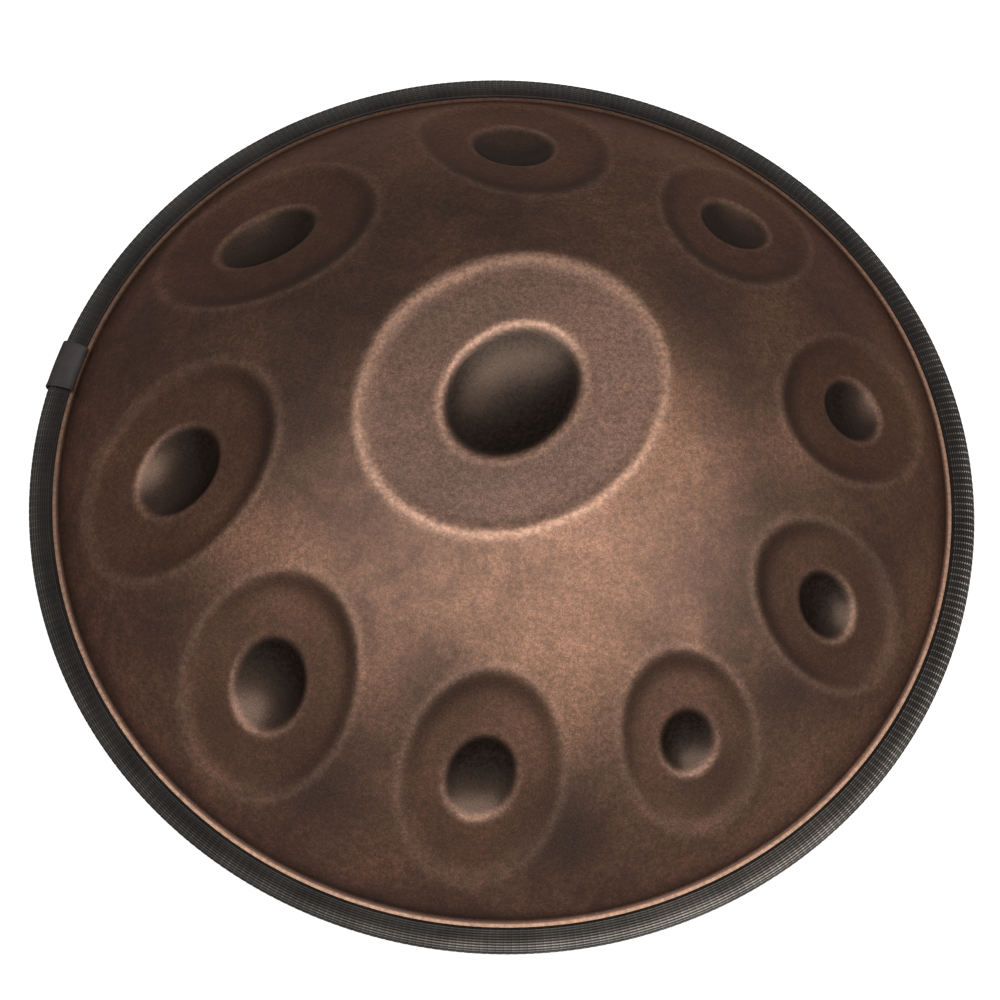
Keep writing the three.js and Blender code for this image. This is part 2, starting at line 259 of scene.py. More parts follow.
def make_piece(name, points, faces, node, attributes=None, facets=()):
    """A mesh piece that stands for a CAD node. Points are in millimetres. facets are its flat faces."""
    mesh = bpy.data.meshes.new(name)
    mesh.from_pydata((np.asarray(points) * MM).tolist(), [], faces)
    mesh.validate()
    for key, values in (attributes or {}).items():
        layer = mesh.attributes.new(key, "FLOAT", "POINT")
        layer.data.foreach_set("value", np.asarray(values, np.float32))
    smooth = np.ones(len(mesh.polygons), bool)
    smooth[list(facets)] = False
    mesh.polygons.foreach_set("use_smooth", smooth)
    piece = bpy.data.objects.new(name, mesh)
    bpy.context.scene.collection.objects.link(piece)
    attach(piece, "root")
    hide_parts(node)
    return piece


class RingMesh:
    """Points in closed rings round the axis, and the faces that join one ring to the next."""

    def __init__(self):
        self.points = []
        self.faces = []
        self.count = 0

    def ring(self, points):
        """Adds a ring, and returns its point numbers."""
        points = np.atleast_2d(points)
        self.points.append(points)
        numbers = list(range(self.count, self.count + len(points)))
        self.count += len(points)
        return numbers

    def join(self, inner, outer):
        """Faces between two rings, seen from above. Either may have twice the other's points."""
        if len(inner) > len(outer):
            self._fan(outer, inner, True)
        else:
            self._fan(inner, outer, False)

    def _fan(self, few, many, flipped):
        step = len(many) // len(few)
        for i, here in enumerate(few):
            after = few[(i + 1) % len(few)]
            span = [many[(i * step + k) % len(many)] for k in range(step + 1)]
            if len(few) == 1:
                faces = [(here, span[k], span[k + 1]) for k in range(step)]
            elif step == 1:
                faces = [(here, span[0], span[1], after)]
            else:
                faces = [(here, span[0], span[1]), (here, span[1], after), (after, span[1], span[2])]
            self.faces += [face[::-1] for face in faces] if flipped else faces

    def all_points(self):
        return np.vstack(self.points)


def azimuths(count):
    return np.arange(count) * (2 * math.pi / count)


def turned_ring(radius, height, count):
    """A circle round the axis."""
    angle = azimuths(count)
    return np.stack([radius * np.cos(angle), radius * np.sin(angle), np.full(count, height)], 1)


# ---------------------------------------------------------------- the playing surface


def ellipse_axes(azimuth, reach, turn):
    """The outward normal, long axis and short axis of an ellipse on the sphere."""
    azimuth, turn = math.radians(azimuth), math.radians(turn)
    tilt = math.asin(reach / DOME_RADIUS)
    outward = np.array([math.cos(azimuth), math.sin(azimuth), 0])
    around = np.array([-outward[1], outward[0], 0])
    up = np.array([0, 0, 1])
    normal = up * math.cos(tilt) + outward * math.sin(tilt)
    down = outward * math.cos(tilt) - up * math.sin(tilt)
    long = around * math.cos(turn) + down * math.sin(turn)
    return normal, long, np.cross(normal, long)


def ellipse_share(directions, azimuth, reach, shape):
    """How far out of an ellipse each direction points: 0 at its centre, 1 on its line."""
    length, width, turn = shape
    normal, long, short = ellipse_axes(azimuth, reach, turn)
    along = DOME_RADIUS * (directions @ long) / (length / 2)
    across = DOME_RADIUS * (directions @ short) / (width / 2)
    share = np.hypot(along, across)
    return np.where(directions @ normal > 0, share, FAR_SHARE)


def softly_inside(share, radius, softness):
    """share, held below 1 with a rounded corner in place of a sharp one."""
    depth = np.clip((1 - share) * radius / softness, -30, 60)
    return 1 - softness * np.log1p(np.exp(depth)) / radius


def bell(distance, width):
    """1 where distance is 0, and gone at about twice the width."""
    return np.exp(-((distance / width) ** 2))


def band(distance, strength, place, width):
    """A soft band: strength at its place, and gone at about twice its width from there."""
    return strength * bell(distance - place, width)


def mean_radius(shape):
    return (shape[0] + shape[1]) / 4


def playing_surface(directions):
    """How far each direction's point lies under the sphere, and masks for the patina, painted light and
    painted shade.
    """
    depth = np.zeros(len(directions))
    masks = {key: np.zeros(len(directions)) for key in FIELD_MASKS}
    for field in (DING, *TONE_FIELDS):
        azimuth, reach, border, dimple = field
        share = ellipse_share(directions, azimuth, reach, border)
        near = share < 1 + FIELD_SURROUND / mean_radius(border)
        share = np.where(near, share, FAR_SHARE)
        dimple_share = np.minimum(ellipse_share(directions, azimuth, reach, dimple), 3)
        depth += np.where(near, field_depth(field, share, dimple_share), 0)
        for key, values in field_masks(field, directions, share, dimple_share).items():
            masks[key] += values
    outside_ding = 1 - 0.9 * bell(np.minimum(ellipse_share(directions, *DING[:3]), 9), 1.0)
    masks["smoke"] = sum(patch(directions, *place) for place in SMOKE_AND_SHADE_PATCHES) * outside_ding
    masks["glow"] = sum(patch(directions, *place) for place in GLOW_AND_LIGHT_PATCHES)
    return depth, masks


def field_depth(field, share, dimple_share):
    """How far a field lies under the sphere: its flattened ellipse, its step, its dimple and their lips."""
    _, _, border, dimple = field
    is_ding = field is DING
    radius, dimple_radius = mean_radius(border), mean_radius(dimple)
    inside = softly_inside(np.minimum(share, 3), radius, BORDER_SOFTNESS)
    flattened = border[0] * border[1] / 4 / (2 * DOME_RADIUS)
    step_depth = DING_STEP_DEPTH if is_ding else FIELD_STEP_DEPTH
    sunk = flattened * (1 - inside**2) + step_depth * (1 - bell((1 - inside) * radius, STEP_WIDTH))
    dimple_inside = softly_inside(dimple_share, dimple_radius, DIMPLE_SOFTNESS)
    dimple_depth = 2 * DIMPLE_DEPTH_SHARE * dimple_radius
    sunk += dimple_depth * (1 - np.clip(dimple_inside, 0, 1) ** DIMPLE_POWER)
    sunk -= band((share - 1) * radius, *(SHOULDER_LIP if is_ding else BORDER_LIP))
    return sunk - band((dimple_share - 1) * dimple_radius, *DIMPLE_LIP)


def field_masks(field, directions, share, dimple_share):
    """Where a field is burnished and given painted highlight (ridge), given painted shade (crease, shade),
    hollow, browner (field) or greyer (pewter).
    """
    azimuth, reach, border, dimple = field
    radius, dimple_radius = mean_radius(border), mean_radius(dimple)
    from_border = (share - 1) * radius
    from_dimple = (dimple_share - 1) * dimple_radius
    lean = towards_dark_side(directions, azimuth, reach, field is DING)
    in_dimple = np.clip((DIMPLE_EDGE_SHARE - dimple_share) * dimple_radius / DIMPLE_EDGE_BLEND, 0, 1)
    # Painted shade in the dimple, darker towards its dark side.
    shade = np.clip(0.5 + 0.85 * lean / dimple_radius, 0, 1)
    if field is DING:
        # Painted shade on the steep walls of the ding's dimple.
        wall_shade = np.clip((dimple_share - 0.55) / 0.4, 0, 0.7)
        shade = np.maximum(shade, wall_shade)
        # Painted light: the ring's greyer, lighter patina grows towards the right.
        right = np.clip(DOME_RADIUS * directions[:, 0] / radius, -1, 1)
        on_ring = np.clip(-from_border / DING_EDGE_BLEND, 0, 1) * (1 - in_dimple)
        ridge = band(from_border, *DING_BORDER_RING) + band(from_border, *DING_BORDER_HALO)
        return {
            "ridge": ridge + band(from_dimple, *DING_DIMPLE_RING),
            "hollow": in_dimple,
            "shade": in_dimple * shade,
            "pewter": on_ring * (1 + 0.5 * right),
        }
    lit = np.clip(0.5 - 0.7 * lean / dimple_radius, 0, 1)
    # More painted shade in the dimples of the fields near SHADED_DIMPLE_AZIMUTH.
    shade = np.clip(shade + SHADED_DIMPLE_STRENGTH * bell(azimuth - SHADED_DIMPLE_AZIMUTH, SHADED_DIMPLE_SPREAD), 0, 1)
    # Painted highlight: the dimple's burnished ring is brighter on its lit side.
    sheen = FIELD_DIMPLE_SHEEN[0] + FIELD_DIMPLE_SHEEN[1] * lit
    # Painted shade in the crease, strongest on the side towards the axis.
    shaded_side = np.clip(0.45 + 0.65 * lean / radius, 0.1, 1)
    return {
        "ridge": band(from_border, *FIELD_BORDER_RING) + sheen * band(from_dimple, *FIELD_DIMPLE_RING),
        "crease": band(from_border, *FIELD_CREASE) * shaded_side,
        # The hollow patina is a little stronger on the side with painted shade.
        "hollow": in_dimple * (0.82 + 0.18 * shade),
        "shade": in_dimple * shade,
        "field": np.clip(-from_border / FIELD_EDGE_BLEND, 0, 1),
        "pewter": in_dimple * 0.6,
    }


def towards_dark_side(directions, azimuth, reach, is_ding):
    """Millimetres from a field's centre towards the side of its dimple with the most painted shade."""
    normal, _, _ = ellipse_axes(azimuth, reach, 0)
    if is_ding:
        towards = math.radians(DING_DARK_AZIMUTH)
        dark_side = np.array([math.cos(towards), math.sin(towards), 0])
    else:
        dark_side = np.array([0, 0, 1]) - normal * normal[2]
        dark_side /= np.linalg.norm(dark_side)
    return DOME_RADIUS * ((directions - normal) @ dark_side)


def patch(directions, azimuth, reach, size, strength):
    """A soft round patch of the patina: strength at its centre, gone at about twice its size."""
    normal, _, _ = ellipse_axes(azimuth, reach, 0)
    apart = DOME_RADIUS * np.linalg.norm(directions - normal, axis=1)
    return strength * bell(apart, size)


def uneven(directions, seed):
    """A slight waviness of the hammered sheet, about a tenth of a millimetre."""
    random = np.random.default_rng(seed)
    total = np.zeros(len(directions))
    for _ in range(WAVES):
        wave = random.normal(size=3)
        wave /= np.linalg.norm(wave)
        pitch = random.uniform(*WAVE_PITCHES)
        phase = random.uniform(0, 2 * math.pi)
        total += np.sin(directions @ wave * (2 * math.pi * DOME_RADIUS / pitch) + phase)
    return WAVE_HEIGHT * total


def directions_on_ring(angle, count):
    azimuth = azimuths(count)
    flat = math.sin(angle)
    return np.stack([flat * np.cos(azimuth), flat * np.sin(azimuth), np.full(count, math.cos(angle))], 1)


def ring_size(radius, finest):
    """Points on a ring: doubles outwards, so that their spacing stays about even."""
    count = finest
    while count > FEWEST_SECTORS and radius < FOOT_RADIUS * 0.98 * count / finest / 2:
        count //= 2
    return count


def foot_line(inset, steps):
    """Radius and height above the flange's outer face, from the foot of the dome to the flange's flat."""
    angles = np.linspace(FOOT_ANGLE, 0, steps + 1)[1:]
    fillet = FOOT_FILLET + inset
    return [(FLANGE_INNER_RADIUS - fillet * math.sin(a), FOOT_FILLET - fillet * math.cos(a)) for a in angles]


def upper_shell(flange_face):
    """The upper shell: its hammered outer face, the flange, and a coarser inner face."""
    mesh = RingMesh()
    masks = {key: [] for key in MASKS}
    centre = flange_face - FOOT_HEIGHT

    def dome_ring(angle, count, inset):
        directions = directions_on_ring(angle, count) if angle > 0 else np.array([[0.0, 0, 1]])
        depth, found = playing_surface(directions)
        fade = np.clip((FOOT_ANGLE - angle) * DOME_RADIUS / UPPER_WAVE_FADE, 0, 1)
        depth += uneven(directions, UPPER_WAVE_SEED) * fade
        points = directions * (DOME_RADIUS - depth - inset)[:, None]
        points[:, 2] += centre
        player_side = np.clip(-directions[:, 1], 0, 1)
        # Painted shade in the corner at the dome's foot, stronger on the player's side.
        from_foot = (FOOT_ANGLE - angle) * DOME_RADIUS
        found["foot"] = math.exp(-from_foot / FOOT_SHADE_WIDTH) * (0.3 + 0.8 * player_side)
        warm = np.clip((angle * DOME_RADIUS - WARM_FROM) / WARM_BLEND, 0, 1)
        found["warm"] = np.full(len(points), warm)
        found["bare"] = np.zeros(len(points))
        for key, values in masks.items():
            values.append(found[key])
        return mesh.ring(points)

    def flat_ring(radius, height, count, bare):
        points = turned_ring(radius, flange_face + height, count)
        # Painted shade: the bare copper fades towards the far side. Where the copper is not shown, the foot's
        # painted shade darkens it, less towards the far side.
        far_side = np.clip(points[:, 1] / radius, 0, 1) ** 2
        shown = bare * (1 - 0.9 * far_side)
        foot_shade = 0.8 * (1 - shown) * (1 - 0.7 * far_side)
        found = {"bare": shown, "foot": foot_shade, "warm": np.full(count, 1.0)}
        for key, values in masks.items():
            values.append(found.get(key, np.zeros(count)))
        return mesh.ring(points)

    def dome_rings(rows, sectors, inset):
        rings = [dome_ring(0, 1, inset)]
        for row in range(1, rows + 1):
            angle = FOOT_ANGLE * row / rows
            count = ring_size(DOME_RADIUS * math.sin(angle), sectors)
            rings.append(dome_ring(angle, count, inset))
        return rings

    over = dome_rings(OUTER_ROWS, OUTER_SECTORS, 0)
    for radius, height in foot_line(0, 5):
        bare = np.clip((radius - BARE_FROM) / BARE_BLEND, 0, 1)
        over.append(flat_ring(radius, height, OUTER_SECTORS, bare))
    for radius in FLANGE_RINGS:
        over.append(flat_ring(radius, 0, OUTER_SECTORS, 1))
    for inner, outer in zip(over, over[1:]):
        mesh.join(inner, outer)

    under = dome_rings(INNER_ROWS, INNER_SECTORS, SHEET)
    for radius, height in foot_line(SHEET, 3):
        under.append(flat_ring(radius, height, INNER_SECTORS, 0))
    under.append(flat_ring(FLANGE_RADIUS, -SHEET, INNER_SECTORS, 1))
    for inner, outer in zip(under, under[1:]):
        mesh.join(outer, inner)
    mesh.join(over[-1], under[-1])
    return mesh, {key: np.concatenate(values) for key, values in masks.items()}


def lower_shell(flange_face):
    """The lower shell, turned: port neck, land, dome, foot and flange, on both faces of the sheet.

    The land rests on the floor, so the flange's outer face is flange_face above it.
    """
    mesh = RingMesh()
    wavy_from, wavy_to = LOWER_WAVE_ZONE

    def profile(inset):
        """Radius and distance below the flange's outer face, from the neck's end to the flange's edge."""
        line = [(PORT_RADIUS + inset, flange_face - NECK_DEPTH)]
        line += [(PORT_RADIUS + inset, flange_face - PORT_FILLET - away) for away in NECK_STATIONS]
        fillet = PORT_FILLET - inset
        for angle in np.linspace(math.pi, math.pi / 2, 8):
            radius = PORT_RADIUS + PORT_FILLET + fillet * math.cos(angle)
            line.append((radius, flange_face - PORT_FILLET + fillet * math.sin(angle)))
        ball = DOME_RADIUS - inset
        land_angle = math.acos((FOOT_HEIGHT + flange_face - inset) / ball)
        for angle in np.linspace(land_angle, FOOT_ANGLE, LOWER_ROWS + 1):
            line.append((ball * math.sin(angle), ball * math.cos(angle) - FOOT_HEIGHT))
        line += foot_line(inset, 4)
        line += [(radius, -inset) for radius in (267.5, FLANGE_RADIUS)]
        return line

    rings = []
    for inset in (0.0, SHEET):
        line = profile(inset)
        rows = []
        for radius, height in line:
            points = turned_ring(radius, flange_face - height, LOWER_SECTORS)
            fade = min((radius - wavy_from) / LOWER_WAVE_FADE, (wavy_to - radius) / LOWER_WAVE_FADE, 1)
            if fade > 0:
                out = points - np.array([0, 0, flange_face + FOOT_HEIGHT])
                out /= np.linalg.norm(out, axis=1)[:, None]
                points = points - out * uneven(out, LOWER_WAVE_SEED)[:, None] * fade
            rows.append(mesh.ring(points))
        rings.append(rows)
    outside, inside = rings
    for inner, outer in zip(outside, outside[1:]):
        mesh.join(outer, inner)
    for inner, outer in zip(inside, inside[1:]):
        mesh.join(inner, outer)
    mesh.join(inside[-1], outside[-1])
    mesh.join(outside[0], inside[0])
    return mesh


# ---------------------------------------------------------------- the edge trim


def rounded_section(grow, degrees):
    """Radius and height of the trim's outside at angles of its section, as its superellipse says."""
    angle = np.radians(degrees)
    cosine, sine = np.cos(angle), np.sin(angle)
    power = 2 / TRIM_ROUNDING
    radius = TRIM_CENTRE_RADIUS + (TRIM_HALF_WIDTH + grow) * np.sign(cosine) * np.abs(cosine) ** power
    height = (TRIM_HALF_THICKNESS + grow) * np.sign(sine) * np.abs(sine) ** power
    return np.stack([radius, height], 1)


def section_at(shares, reach):
    """Points, outward normals and whole length of the section, at shares of its length from the upper lip."""
    fine = rounded_section(0.0, np.linspace(reach, -reach, SECTION_SAMPLES))
    steps = np.linalg.norm(np.diff(fine, axis=0), axis=1)
    run = np.concatenate([[0], np.cumsum(steps)])
    at = np.asarray(shares) * run[-1]

    def on_line(place):
        return np.stack([np.interp(place, run, fine[:, k]) for k in (0, 1)], 1)

    along = on_line(at + NORMAL_STEP) - on_line(at - NORMAL_STEP)
    normals = np.stack([-along[:, 1], along[:, 0]], 1)
    return on_line(at), normals / np.linalg.norm(normals, axis=1)[:, None], run[-1]


def lip_angle():
    """Degrees of the section at which its outside meets the slot."""
    share = (SLOT_HALF_HEIGHT / TRIM_HALF_THICKNESS) ** (TRIM_ROUNDING / 2)
    return 180 - math.degrees(math.asin(share))


def cap(points, loops, facing):
    """Triangles that close the end of a swept piece. loops are lists of point numbers."""
    polygons = [[Vector(points[n]) for n in loop] for loop in loops]
    numbers = [n for loop in loops for n in loop]
    faces = []
    for a, b, c in geometry.tessellate_polygon(polygons):
        face = (numbers[a], numbers[b], numbers[c])
        p, q, r = (points[n] for n in face)
        upright = np.dot(np.cross(q - p, r - p), facing) > 0
        faces.append(face if upright else face[::-1])
    return faces


def strips(columns):
    """Quads between neighbouring columns of point numbers. Each column is a closed loop."""
    faces = []
    for a, b in zip(columns, columns[1:]):
        for k in range(len(a)):
            after = (k + 1) % len(a)
            faces.append((a[k], a[after], b[after], b[k]))
    return faces


class Sweep:
    """Sections placed one after another along the rim, as columns of numbered points."""

    def __init__(self, middle):
        self.middle = middle
        self.points = []
        self.count = 0

    def add(self, section, azimuth):
        """Adds a section of radius and height at an azimuth, and returns its point numbers."""
        radius, height = section[:, 0], section[:, 1]
        place = [radius * math.cos(azimuth), radius * math.sin(azimuth), self.middle + height]
        self.points.append(np.stack(place, 1))
        numbers = list(range(self.count, self.count + len(section)))
        self.count += len(section)
        return numbers

    def all_points(self):
        return np.vstack(self.points)


def rim_direction(azimuth):
    """The way along the rim at an azimuth, anticlockwise from above."""
    return np.array([-math.sin(azimuth), math.cos(azimuth), 0])


def trim_glint(azimuth, least, extra, centre, spread):
    """How strong the trim's painted glints are at an azimuth: least, and extra more at the centre of its lit
    side.
    """
    apart = (math.degrees(azimuth) - centre + 180) % 360 - 180
    return least + extra * bell(apart, spread)


def trim_rows(run):
    """Shares of the section's length for its points, and how far each lies off the section."""
    lip = LIP_WIDTH / run
    ribbed = np.linspace(lip, 1 - lip, 2 * TRIM_RIBS + 1)
    rows = [
        *np.linspace(0, lip, LIP_ROWS, endpoint=False),
        *ribbed,
        *np.linspace(1 - lip, 1, LIP_ROWS + 1)[1:],
    ]
    ribs = [-RIB_DEPTH if k % 2 == 0 else 0.0 for k in range(len(ribbed))]
    smooth = [0.0] * LIP_ROWS
    rows = np.array(rows)
    return rows, np.array(smooth + ribs + smooth), (rows > lip) & (rows < 1 - lip)


def edge_trim(middle):
    """The trim: a ribbed channel with a pocket for its steel core, open at its butt joint."""
    reach = lip_angle()
    rows, lifts, textured = trim_rows(section_at([0, 1], reach)[2])
    points, normals, _ = section_at(rows, reach)
    slot = np.array([[SLOT_RADIUS, -SLOT_HALF_HEIGHT], [SLOT_RADIUS, SLOT_HALF_HEIGHT]])
    shoulder = bell(rows - SHOULDER_PLACE, SHOULDER_SPREAD) + bell(rows - 1 + SHOULDER_PLACE, SHOULDER_SPREAD)
    glint_across = FLANK_GLINT + SHOULDER_GLINT * shoulder

    gap = BUTT_GAP / TRIM_CENTRE_RADIUS
    start, turn = math.radians(JOINT_AZIMUTH) + gap / 2, 2 * math.pi - gap
    stations = [(cell + place, *rest) for cell in range(TRIM_CELLS) for place, *rest in CELL_STATIONS]
    stations.append((TRIM_CELLS, 1.0, 0.0))
    sweep, columns, crest_glint = Sweep(middle), [], []
    for where, groove, edge in stations:
        azimuth = start + turn * where / TRIM_CELLS
        lift = np.minimum(lifts, np.where(textured, -GROOVE_DEPTH * groove, 0.0))
        columns.append(sweep.add(np.vstack([points + normals * lift[:, None], slot]), azimuth))
        along = trim_glint(azimuth, *RIB_GLINT) * (1 - 0.2 * groove)
        glint = (along + trim_glint(azimuth, *CELL_EDGE_GLINT) * edge) * glint_across
        crest_glint += [*((1 + lifts / RIB_DEPTH) * np.where(textured, glint, 0.0)), 0.0, 0.0]
    faces = strips(columns)
    rib_rows = range(LIP_ROWS, LIP_ROWS + 2 * TRIM_RIBS)
    facets = [column * len(columns[0]) + row for column in range(len(columns) - 1) for row in rib_rows]

    pocket = pocket_section()
    pocket_columns = [sweep.add(pocket, start + turn * k / POCKET_STEPS) for k in range(POCKET_STEPS + 1)]
    faces += [face[::-1] for face in strips(pocket_columns)]
    everything = sweep.all_points()
    crest_glint += [0.0] * (len(everything) - len(crest_glint))
    faces += cap(everything, [columns[0], pocket_columns[0]], -rim_direction(start))
    faces += cap(everything, [columns[-1], pocket_columns[-1]], rim_direction(start + turn))
    return everything, faces, facets, {"crest_glint": crest_glint}


def pocket_section():
    """The folded pocket in the trim, round the slot."""
    under = POCKET_HALF_HEIGHT - POCKET_THICKNESS
    web = POCKET_OUTER_RADIUS - POCKET_THICKNESS
    upper = [
        (web, under),
        (POCKET_INNER_RADIUS, under),
        (POCKET_INNER_RADIUS, POCKET_HALF_HEIGHT),
        (POCKET_OUTER_RADIUS, POCKET_HALF_HEIGHT),
    ]
    return np.array(upper + [(r, -h) for r, h in reversed(upper)])


def joint_clip(middle):
    """The sleeve over the trim's joint, with rounded ends and a slight flare at one of them."""
    half = CLIP_LENGTH / 2
    places = half * np.sin(np.linspace(-math.pi / 2, math.pi / 2, CLIP_STEPS + 1))
    inner_degrees = np.linspace(CLIP_REACH_DEGREES, -CLIP_REACH_DEGREES, CLIP_SECTORS + 1)
    sweep, columns, ends = Sweep(middle), [], []
    for place in places:
        from_end = min((half - abs(place)) / CLIP_END_ROUNDING, 1)
        rounding = math.sqrt(max(1 - (1 - from_end) ** 2, 0))
        grow = CLIP_GAP + CLIP_FLARE * math.exp(-((half - place) / CLIP_FLARE_LENGTH))
        thick = CLIP_THICKNESS * (CLIP_END_SHARE + (1 - CLIP_END_SHARE) * rounding)
        inside = rounded_section(grow, inner_degrees)
        outside = rounded_section(grow + thick, inner_degrees[::-1])
        lower_lip = (inside[-1] + outside[0]) / 2 + CLIP_LIP_BULGE
        upper_lip = (outside[-1] + inside[0]) / 2 + CLIP_LIP_BULGE
        section = np.vstack([inside, [lower_lip], outside, [upper_lip]])
        azimuth = math.radians(JOINT_AZIMUTH) + place / TRIM_CENTRE_RADIUS
        columns.append(sweep.add(section, azimuth))
        ends.append(rim_direction(azimuth))
    everything = sweep.all_points()
    faces = [face[::-1] for face in strips(columns)]
    faces += cap(everything, [columns[0]], -ends[0])
    faces += cap(everything, [columns[-1]], ends[-1])
    return everything, faces


# ---------------------------------------------------------------- materials


class Finish:
    """A node material that ends in one Principled shader. Scales are given in millimetres."""

    def __init__(self, name):
        self.material = bpy.data.materials.new(name)
        self.material.use_nodes = True
        self.tree = self.material.node_tree
        self.shader = self.tree.nodes["Principled BSDF"]
        self.place = self.tree.nodes.new("ShaderNodeTexCoord").outputs["Object"]

    def add(self, kind, inputs, output=0, **settings):
        node = self.tree.nodes.new(kind)
        for key, value in settings.items():
            setattr(node, key, value)
        for key, value in inputs.items():
            self.feed(node.inputs[key], value)
        return node.outputs[output]

    def feed(self, socket, value):
        if isinstance(value, bpy.types.NodeSocket):
            self.tree.links.new(value, socket)
        elif isinstance(value, tuple) and len(value) == 3 and len(socket.default_value) == 4:
            socket.default_value = (*value, 1)
        else:
            socket.default_value = value

    def noise(self, size, detail=3.0, roughness=0.5, stretch=(1, 1, 1), distortion=0.0):
        """Noise about 0.5, whose blobs are about this many millimetres across."""
        place = self.add("ShaderNodeVectorMath", {0: self.place, 1: stretch}, operation="MULTIPLY")
        inputs = {"Vector": place, "Scale": 1 / (size * MM), "Detail": detail}
        inputs.update({"Roughness": roughness, "Distortion": distortion})
        return self.add("ShaderNodeTexNoise", inputs)

    def spread(self, value, low, high, to_low=0.0, to_high=1.0):
        """value, stretched from one range to another and held inside it."""
        inputs = {"Value": value, "From Min": low, "From Max": high, "To Min": to_low, "To Max": to_high}
        return self.add("ShaderNodeMapRange", inputs)

    def sums(self, operation, first, second):
        return self.add("ShaderNodeMath", {0: first, 1: second}, operation=operation)

    def times(self, first, second):
        return self.sums("MULTIPLY", first, second)

    def mask(self, name):
        return self.add("ShaderNodeAttribute", {}, output="Fac", attribute_name=name)

    def mix(self, share, first, second, blend="MIX"):
        inputs = {0: share, 6: first, 7: second}
        return self.add("ShaderNodeMix", inputs, output=2, data_type="RGBA", blend_type=blend)

    def bump(self, height, distance, normal=None):
        inputs = {"Height": height, "Distance": distance * MM, "Strength": 1.0}
        if normal is not None:
            inputs["Normal"] = normal
        return self.add("ShaderNodeBump", inputs)

    def finish(self, **inputs):
        for key, value in inputs.items():
            self.feed(self.shader.inputs[key.replace("_", " ")], value)
        return self.material


BRIGHT_COPPER = (0.62, 0.335, 0.220)
BROWN_PATINA = (0.36, 0.198, 0.138)
DARK_PATINA = (0.122, 0.084, 0.068)
HOLLOW_PATINA = (0.105, 0.078, 0.060)
FIELD_PATINA = (0.250, 0.118, 0.076)
CREASE_SHADE = (0.080, 0.048, 0.036)
PEWTER_PATINA = (0.52, 0.335, 0.270)
DIMPLE_SHADE = (0.024, 0.020, 0.018)
FOOT_SHADE = (0.055, 0.033, 0.028)
RIM_PATINA = (0.58, 0.272, 0.190)
BURNISH_AND_HIGHLIGHT = (0.86, 0.52, 0.375)
BARE_COPPER = (0.56, 0.34, 0.235)
WHITE = (1.0, 1.0, 1.0)

# The playing surface's patina, painted light and painted shade, from the bottom up: its mask, how strongly it
# covers, and its colour.
PATINA_LIGHT_AND_SHADE_LAYERS = (
    ("glow", 1.0, BRIGHT_COPPER),
    ("smoke", 1.0, DARK_PATINA),
    ("field", 0.45, FIELD_PATINA),
    ("crease", 0.62, CREASE_SHADE),
    ("pewter", 0.42, PEWTER_PATINA),
    ("hollow", 0.90, HOLLOW_PATINA),
    ("shade", 0.85, DIMPLE_SHADE),
    ("foot", 0.75, FOOT_SHADE),
)
# How much rougher each of these is than the rest.
ROUGHER = (("ridge", 0.05), ("hollow", -0.08), ("bare", -0.12))

# Sizes of the steel's patterns in millimetres.
CLOUD_SIZE = 150
SMOKE_SIZE = 46
DENT_SIZE = 13
MOTTLE_SIZE = 9
LEATHER_SIZE = 2.6
GRAIN_SIZE = 0.8


def shell_steel(name, has_masks):
    """Heat-tinted steel: clouds of copper and brown, fine speckle, burnished ridges partly painted as
    highlights, dark hollows, and painted light and shade.
    """
    f = Finish(name)
    clouds = f.spread(f.noise(CLOUD_SIZE, 3, 0.55, distortion=0.6), 0.36, 0.66)
    smoke = f.spread(f.noise(SMOKE_SIZE, 4, 0.6, distortion=0.9), 0.33, 0.70)
    mottle = f.noise(MOTTLE_SIZE, 3, 0.6)
    leather = f.noise(LEATHER_SIZE, 3, 0.65)
    grain = f.noise(GRAIN_SIZE, 2, 0.7)
    tint = f.mix(f.times(clouds, 0.75), BROWN_PATINA, BRIGHT_COPPER)
    if has_masks:
        tint = f.mix(f.times(f.mask("warm"), 0.62), tint, RIM_PATINA)
    tint = f.mix(f.times(f.sums("SUBTRACT", 1.0, smoke), 0.60), tint, DARK_PATINA)
    tint = f.mix(f.spread(mottle, 0.35, 0.65, 0.34, 0.0), tint, DARK_PATINA)
    roughness = f.spread(smoke, 0, 1, 0.47, 0.40)
    speck = f.spread(grain, 0.30, 0.70, 0.58, 1.38)
    if has_masks:
        for mask, strength, colour in PATINA_LIGHT_AND_SHADE_LAYERS:
            tint = f.mix(f.times(f.mask(mask), strength), tint, colour)
        # Burnished ridges, partly painted highlight.
        ridge = f.times(f.mask("ridge"), f.spread(mottle, 0.30, 0.62, 0.70, 1.0))
        masks = {"ridge": ridge, "hollow": f.mask("hollow"), "bare": f.mask("bare")}
        tint = f.mix(f.sums("MINIMUM", ridge, 0.9), tint, BURNISH_AND_HIGHLIGHT)
        tint = f.mix(masks["bare"], tint, BARE_COPPER)
        for mask, more in ROUGHER:
            roughness = f.sums("ADD", roughness, f.times(masks[mask], more))
        smooth = f.sums("MAXIMUM", masks["bare"], f.times(ridge, 0.6))
        speck = f.mix(smooth, speck, WHITE)
    tint = f.mix(1.0, tint, speck, blend="MULTIPLY")
    tint = f.mix(f.spread(leather, 0.36, 0.62, 0.48, 0.0), tint, DARK_PATINA)
    pits = f.bump(f.noise(GRAIN_SIZE, 2, 0.6), 0.020)
    dents = f.bump(f.noise(DENT_SIZE, 3, 0.55), 0.16, normal=pits)
    roughness = f.sums("ADD", roughness, f.spread(grain, 0.3, 0.7, -0.04, 0.04))
    return f.finish(Base_Color=tint, Metallic=1.0, Roughness=roughness, Normal=dents)


